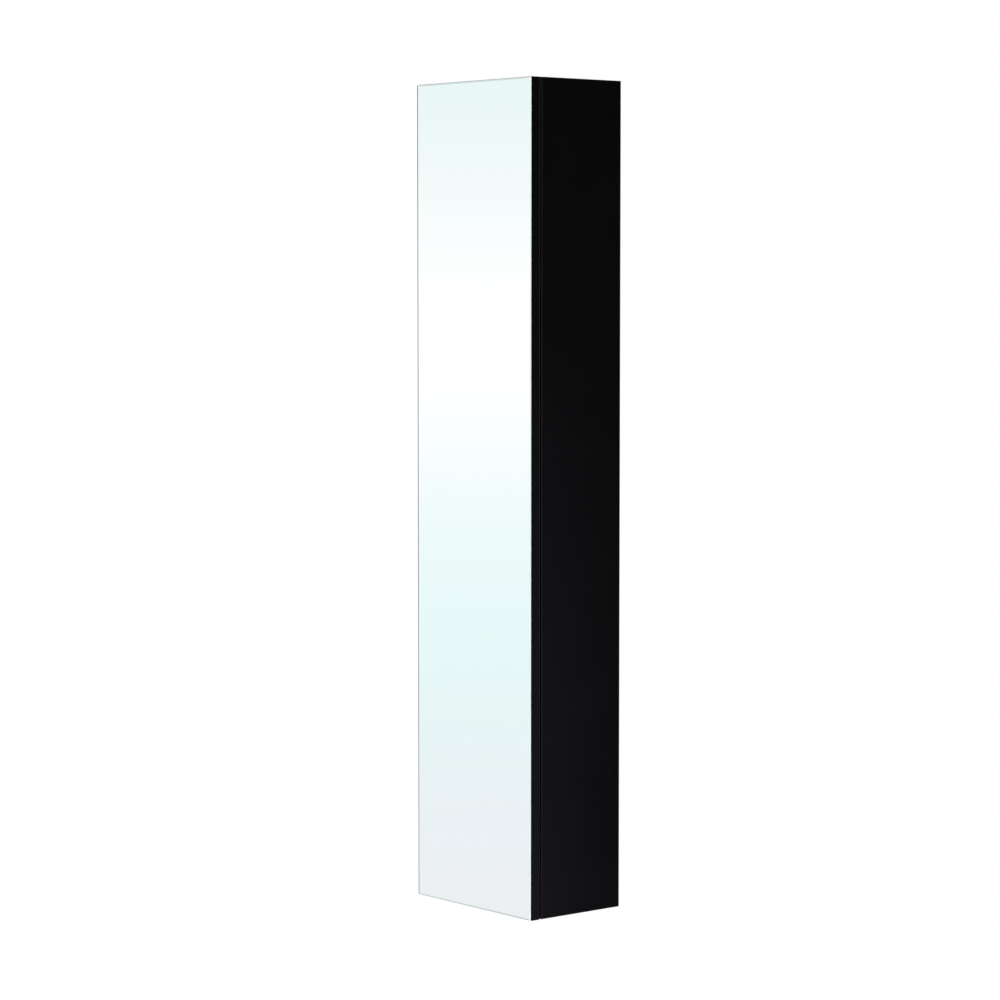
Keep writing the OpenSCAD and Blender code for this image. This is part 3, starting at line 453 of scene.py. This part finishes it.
def boxes_of(node, *axes):
    """Lowest and highest corners of a node's separate solids, which are told apart along one axis after the other."""
    mesh = frame["nodes"][node].data
    points = np.empty(3 * len(mesh.vertices))
    mesh.vertices.foreach_get("co", points)
    groups = [points.reshape(-1, 3)]
    for axis in axes:
        groups = [part for group in groups for part in parted(group, axis)]
    return [(part.min(axis=0), part.max(axis=0)) for part in groups]


def turned_in(box, outline, along):
    """Rings that fill a solid's box, turned round its axis along X, Y or Z (0, 1 or 2). The outline's points are (share
    of the length, from the low end, share of the radius), and each becomes a circle round the axis: cos(turn) times one
    unit vector across it, plus sin(turn) times the other."""
    low, high = box
    axis, side, other = np.roll(np.eye(3), -along, axis=0)
    base = (low + high) / 2
    base[along] = low[along]
    length, radius = (high - low)[along], (high - low)[(along + 1) % 3] / 2
    rise, spread = (np.array(outline) * [length, radius]).T[:, :, None, None]
    turn = np.linspace(0, 2 * math.pi, ROUND_STEPS, endpoint=False)
    circle = np.outer(np.cos(turn), side) + np.outer(np.sin(turn), other)
    return base + rise * axis + spread * circle


RIM, FLAT, DOME_STEPS = 0.25, 0.3, 8
rise = np.linspace(0, math.pi / 2, DOME_STEPS)
DOME = [(0, 1), *zip(RIM + (1 - RIM) * np.sin(rise), FLAT + (1 - FLAT) * np.cos(rise))]
domes = [turned_in(box, DOME, 1) for box in boxes_of("door_bumpers", 2)]
stands_for(from_rings("bumper_domes", domes), "door", "clear_pad", "door_bumpers")

# %% [markdown]
# ## Caps and covers
#
# The carcass is drawn together by cam locks, and a thin plastic cover hides each one. Two caps with a stem close the
# holes in the back board through which the hangers are adjusted. Both kinds are injection moulded, so no edge is sharp:
# a mould can't fill one. Their outlines have small rounds where the plain solids have corners.

# %% Twelve cam covers and two caps
COVER = [(0, 0.95), (0.15, 0.985), (0.4, 1), (0.6, 1), (0.85, 0.985), (1, 0.95), (1, 0.6), (0.9, 0.56)]
covers = [turned_in(box, COVER, 2) for box in boxes_of("cam_covers", 2, 0, 1)]
stands_for(from_rings("moulded_cam_covers", covers), "carcass", "black_plastic", "cam_covers")

HEAD, STEM = 1 / 6, 3.9 / 6
CAP = [
    (0, 0.4), (0.015, 0.62), (0.045, 0.82), (0.09, 0.94), (0.13, 1), (HEAD, 1), (HEAD, STEM), (0.93, STEM),
    (1, 0.9 * STEM),
]
caps = [turned_in(box, CAP, 1) for box in boxes_of("hanger_caps", 0)]
stands_for(from_rings("domed_hanger_caps", caps), "carcass", "black_plastic", "hanger_caps")

# %% [markdown]
# ## The latch's magnet and its plate
#
# The push latch ends in a magnet, and a plated steel disc on the door meets it. Magnets are ground and then plated,
# with a small chamfer that keeps their brittle edge from chipping. The disc is punched: its rim is rounded on the face
# that the punch entered, and its screw hole is countersunk.

# %% Magnet and catch plate
MAGNET = [(0, 0.86), (0.06, 0.95), (0.13, 1), (1, 1)]
magnet = [turned_in(tuple(np.array(v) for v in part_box("latch_magnet")), MAGNET, 1)]
stands_for(from_rings("ground_magnet", magnet), "plunger", "magnet", "latch_magnet")

SCREW_HOLE, SINK = 1.8 / 7.5, 0.08
PLATE = [(0, 1), (0.55, 1), (0.85, 0.985), (1, 0.95), (1, SCREW_HOLE + SINK), (0.55, SCREW_HOLE), (0, SCREW_HOLE)]
plate = [turned_in(tuple(np.array(v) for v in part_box("catch_plate")), PLATE, 1)]
stands_for(from_rings("punched_catch_plate", plate, pierced=True), "door", "nickel", "catch_plate")

# %% [markdown]
# ## White air
#
# The photograph is a cut-out on pure white. The world could be one white light, but light that strong from all sides
# would wash the black boards grey. So it is white only where the camera, a reflection or a pane of glass sees it, and a
# softer grey where it lights a surface. The light path of each ray tells the two apart.

# %% White air
AIR_LIGHT = 0.55
world = bpy.data.worlds.new("white air")
world.use_nodes = True
scene.world = world
tree = world.node_tree
tree.nodes.clear()


def seen_directly(tree):
    """1 for a ray from the camera, from a reflection or through glass, and 0 for light that falls on a surface."""
    path = add(tree, "ShaderNodeLightPath").outputs
    seen = path["Is Camera Ray"]
    for ray in ("Is Glossy Ray", "Is Transmission Ray"):
        seen = add(tree, "ShaderNodeMath", {0: seen, 1: path[ray]}, operation="MAXIMUM").outputs["Value"]
    return seen


air = add(tree, "ShaderNodeBackground", {"Color": (1, 1, 1, 1), "Strength": AIR_LIGHT})
white = add(tree, "ShaderNodeBackground", {"Color": (1, 1, 1, 1), "Strength": 1.0})
mixed = add(tree, "ShaderNodeMixShader", {"Fac": seen_directly(tree), 1: air.outputs[0], 2: white.outputs[0]})
add(tree, "ShaderNodeOutputWorld", {"Surface": mixed.outputs[0]})
print("the air is 1 where it is seen, and lights with", AIR_LIGHT)

# %% [markdown]
# ## The floor
#
# The picture shows no ground and no shadow, so the cabinet hangs well above a plain pale floor. From higher up that
# floor comes into view, and without a trace of shadow the cabinet would seem to float in fog. So under it a quarter of
# the floor's own shading is left, and further out it turns to the white of the air, so that no horizon shows.

# %% Pale floor
FLOOR_DROP = 0.75
FLOOR_SIZE = 30.0
FLOOR_KEEPS = 0.25
FADE = (0.5, 1.4)


def panel(name, width, height):
    """A flat rectangle of the stage, width along its X and height along its Y, with its face towards its own +Z."""
    x, y = width / 2, height / 2
    mesh = bpy.data.meshes.new(name)
    mesh.from_pydata([(-x, -y, 0), (x, -y, 0), (x, y, 0), (-x, y, 0)], [], [(0, 1, 2, 3)])
    card = bpy.data.objects.new(name, mesh)
    scene.collection.objects.link(card)
    return card


floor = panel("floor", FLOOR_SIZE, FLOOR_SIZE)
floor.location.z = size_before[0].z - FLOOR_DROP
material, tree, surface, where = finish("pale studio floor", Base_Color=linear("#f4f4f4"), Roughness=0.9)
white = add(tree, "ShaderNodeEmission", {"Color": (1, 1, 1, 1), "Strength": 1.0})
away = add(tree, "ShaderNodeVectorMath", {0: where}, operation="LENGTH").outputs["Value"]
ranges = {"From Min": FADE[0], "From Max": FADE[1], "To Min": 1 - FLOOR_KEEPS, "To Max": 1.0}
whiteness = add(tree, "ShaderNodeMapRange", {"Value": away, **ranges}, interpolation_type="SMOOTHSTEP")
share = add(tree, "ShaderNodeMath", {0: seen_directly(tree), 1: whiteness.outputs["Result"]}, operation="MULTIPLY")
mixed = add(tree, "ShaderNodeMixShader", {"Fac": share.outputs["Value"], 1: surface.outputs[0], 2: white.outputs[0]})
tree.links.new(mixed.outputs[0], tree.nodes["Material Output"].inputs["Surface"])
floor.data.materials.append(material)
print("floor at", round(floor.location.z, 3), "m")

# %% [markdown]
# ## What the mirror sees
#
# A mirror shows the room, so its look is made by what stands round it. A tall white light card bends round the front of
# the cabinet, brighter above its middle than at its ends, which is the pale gradient on the door. The mirror's fine
# bevel looks past it, at a grey cloth above, a mat of painted floor shade below and the dark cloths of the next step at
# the sides, and that draws the thin grey line round the mirror. The mat is grey near its middle and white further out:
# it is a painted shade of the floor under the cabinet, as the mirror and the lacquer reflect it. A bent card looks the
# same from all round the front, where a flat one would slide out of the mirror. All of them show in reflections alone,
# so the camera sees none, and they throw no light and no shadow on the boards.

# %% Light card, cloth above and a mat of painted floor shade
CARD_COLUMNS = 45


def glowing(name, stops, low, high, along, fade=None):
    """A surface that glows by place: stops are (share of the way, brightness as RGB) between low and high along one of
    the piece's own axes, or away from its middle where along is None. A ramp holds colours up to 1, so they are divided
    by the brightest one and the glow's strength makes up for it. Where fade is given, the strength also falls in a
    straight line along X, from all of it at fade's first place to none at its second."""
    brightest = max(max(colour) for _, colour in stops)
    material = bpy.data.materials.new(name)
    material.use_nodes = True
    tree = material.node_tree
    tree.nodes.clear()
    where = add(tree, "ShaderNodeTexCoord").outputs["Object"]
    if along:
        place = add(tree, "ShaderNodeSeparateXYZ", {"Vector": where}).outputs[along]
    else:
        place = add(tree, "ShaderNodeVectorMath", {0: where}, operation="LENGTH").outputs["Value"]
    share = add(tree, "ShaderNodeMapRange", {"Value": place, "From Min": low, "From Max": high})
    ramp = add(tree, "ShaderNodeValToRGB", {"Fac": share.outputs["Result"]})
    ramp.color_ramp.interpolation = "B_SPLINE"
    points = ramp.color_ramp.elements
    for number, (position, colour) in enumerate(stops):
        point = points[0 if number == 0 else -1] if number in (0, len(stops) - 1) else points.new(position)
        point.color = (*(channel / brightest for channel in colour), 1)
    strength = brightest
    if fade:
        across = add(tree, "ShaderNodeSeparateXYZ", {"Vector": where}).outputs["X"]
        ends = {"From Min": fade[0], "From Max": fade[1], "To Min": brightest, "To Max": 0.0}
        strength = add(tree, "ShaderNodeMapRange", {"Value": across, **ends}).outputs["Result"]
    glow = add(tree, "ShaderNodeEmission", {"Color": ramp.outputs["Color"], "Strength": strength})
    add(tree, "ShaderNodeOutputMaterial", {"Surface": glow.outputs[0]})
    return material


def only_reflected(card):
    """Lets a card show in reflections alone."""
    card.visible_camera = card.visible_diffuse = card.visible_transmission = card.visible_shadow = False


def bent(name, radius, widest, low, high):
    """An upright sheet bent round the object: at azimuth a, from -widest to widest degrees, its foot and its top stand
    at radius times (sin a, -cos a)."""
    turn = np.radians(np.linspace(-widest, widest, CARD_COLUMNS))
    foot = np.column_stack([radius * np.sin(turn), -radius * np.cos(turn), np.full(CARD_COLUMNS, low)])
    points = np.vstack([foot, foot + [0, 0, high - low]])
    first = np.arange(CARD_COLUMNS - 1)
    faces = np.column_stack([first, first + 1, first + 1 + CARD_COLUMNS, first + CARD_COLUMNS])
    mesh = bpy.data.meshes.new(name)
    mesh.from_pydata(points.tolist(), [], faces.tolist())
    sheet = bpy.data.objects.new(name, mesh)
    scene.collection.objects.link(sheet)
    return sheet


MAT_LIFT = 0.01
CARD_AWAY = 3.0
CARD_WIDEST = 66
RAMP_FOOT, CARD_TOP, CLOTH_TOP = -0.65, 1.85, 4.3
CARD_STOPS = [
    (0.0, (1.04, 0.92, 0.955)), (0.14, (1.0, 0.946, 0.973)), (0.24, (0.98, 0.99, 0.99)), (0.34, (0.99, 1.01, 1.01)),
    (0.45, (1.06, 1.04, 1.04)), (0.56, (1.24, 1.08, 1.09)), (0.68, (1.24, 1.08, 1.09)), (0.78, (1.1, 1.03, 1.03)),
    (0.88, (1.0, 1.0, 1.0)), (1.0, (0.98, 0.98, 0.98)),
]
ABOVE_STOPS = [(0.0, (0.77, 0.77, 0.78)), (1.0, (0.77, 0.77, 0.78))]
# Painted shade: the mat glows grey within about 1.35 m of its middle and turns white further out, standing for the
# floor's shade under the cabinet as reflections show it.
FLOOR_SHADE_STOPS = [
    (0.0, (0.53, 0.53, 0.54)), (0.45, (0.53, 0.53, 0.54)), (0.75, (0.98, 0.9, 0.92)), (1.0, (1.04, 0.92, 0.955)),
]
card = bent("light_card", CARD_AWAY, CARD_WIDEST, MAT_LIFT - FLOOR_DROP, CARD_TOP)
card.data.materials.append(glowing("light card", CARD_STOPS, RAMP_FOOT, CARD_TOP, "Z"))
above = bent("grey_cloth_above", CARD_AWAY, CARD_WIDEST, CARD_TOP, CLOTH_TOP)
above.data.materials.append(glowing("grey cloth", ABOVE_STOPS, CARD_TOP, CLOTH_TOP, "Z"))
# The mat of painted floor shade, which shows in reflections alone.
shade_mat = panel("painted_floor_shade", 2 * CARD_AWAY, 2 * CARD_AWAY)
shade_mat.location.z = MAT_LIFT - FLOOR_DROP
shade_mat.data.materials.append(glowing("painted floor shade", FLOOR_SHADE_STOPS, 0, CARD_AWAY, None))
for piece in (card, above, shade_mat):
    only_reflected(piece)
    print(piece.name, "shows in reflections alone")

# %% [markdown]
# ## What the sides see
#
# A black side is as dark as what it reflects, and in the photograph it stays black, a little lighter and bluer towards
# its foot and its front edge. So a dark cloth hangs on each side. It glows faintly near the floor, and the glow ends
# where the side's back edge sees the cloth, a metre behind the mirror. The fine line on the door's back edge is round
# enough to see past the cloth, into the white air.

# %% Two dark cloths
CLOTH_STOPS = [
    (0.0, (0.195, 0.195, 0.26)), (0.15, (0.19, 0.19, 0.25)), (0.3, (0.16, 0.16, 0.205)), (0.42, (0.04, 0.04, 0.053)),
    (0.6, (0.004, 0.004, 0.006)), (1.0, (0.0, 0.0, 0.0)),
]
CLOTH_AWAY = 1.3
CLOTH_BACK = 2.8
CLOTH_FADE = (0.85, 1.05)
SIDE_FOOT, GLOW_TOP, SIDE_TOP = -0.73, 3.0, 4.5
CLOTHS = {"left_cloth": (-1, -0.8), "right_cloth": (1, -0.3)}  # the side in X that it hangs on, and its front end in Y
for name, (side, front) in CLOTHS.items():
    cloth = panel(name, CLOTH_BACK - front, SIDE_TOP - SIDE_FOOT)
    middle = Vector((side * CLOTH_AWAY, (front + CLOTH_BACK) / 2, (SIDE_FOOT + SIDE_TOP) / 2))
    aim(cloth, middle, middle - Vector((side, 0, 0)))
    fade = [side * (place - middle.y) for place in CLOTH_FADE]
    glow = glowing("dark cloth", CLOTH_STOPS, SIDE_FOOT - middle.z, GLOW_TOP - middle.z, "Y", fade)
    cloth.data.materials.append(glow)
    only_reflected(cloth)
    print(name, "runs from", front, "to", CLOTH_BACK, "m")

# %% [markdown]
# ## Lamps
#
# Four large round lamps give the boards their soft shape: a key from the left and above, a fill from the front, one
# from the right and one from behind. Discs this large throw shadows with soft edges. Only the key shows in reflections,
# as a sheen on the lacquer, because four bright discs in a black side would look like a photographer's mistake.

# %% Four lamps
LAMPS = {
    # The direction it shines from, its distance and width in metres, and its power in watts
    "key": (towards(-25, 40), 4.5, 2.5, 110),
    "fill": (towards(8, 12), 4.5, 2.5, 55),
    "side": (towards(80, 20), 4.5, 2.0, 80),
    "back": (towards(190, 35), 4.5, 2.5, 80),
}
for name, (direction, distance, width, power) in LAMPS.items():
    lamp = bpy.data.objects.new(name, bpy.data.lights.new(name, "AREA"))
    scene.collection.objects.link(lamp)
    aim(lamp, LOOK_AT + distance * direction, LOOK_AT)
    lamp.data.shape = "DISK"
    lamp.data.size = width
    lamp.data.energy = power
    lamp.visible_camera = False
    lamp.visible_glossy = name == "key"

scene.view_settings.view_transform = "Standard"
print("lamps:", ", ".join(LAMPS))
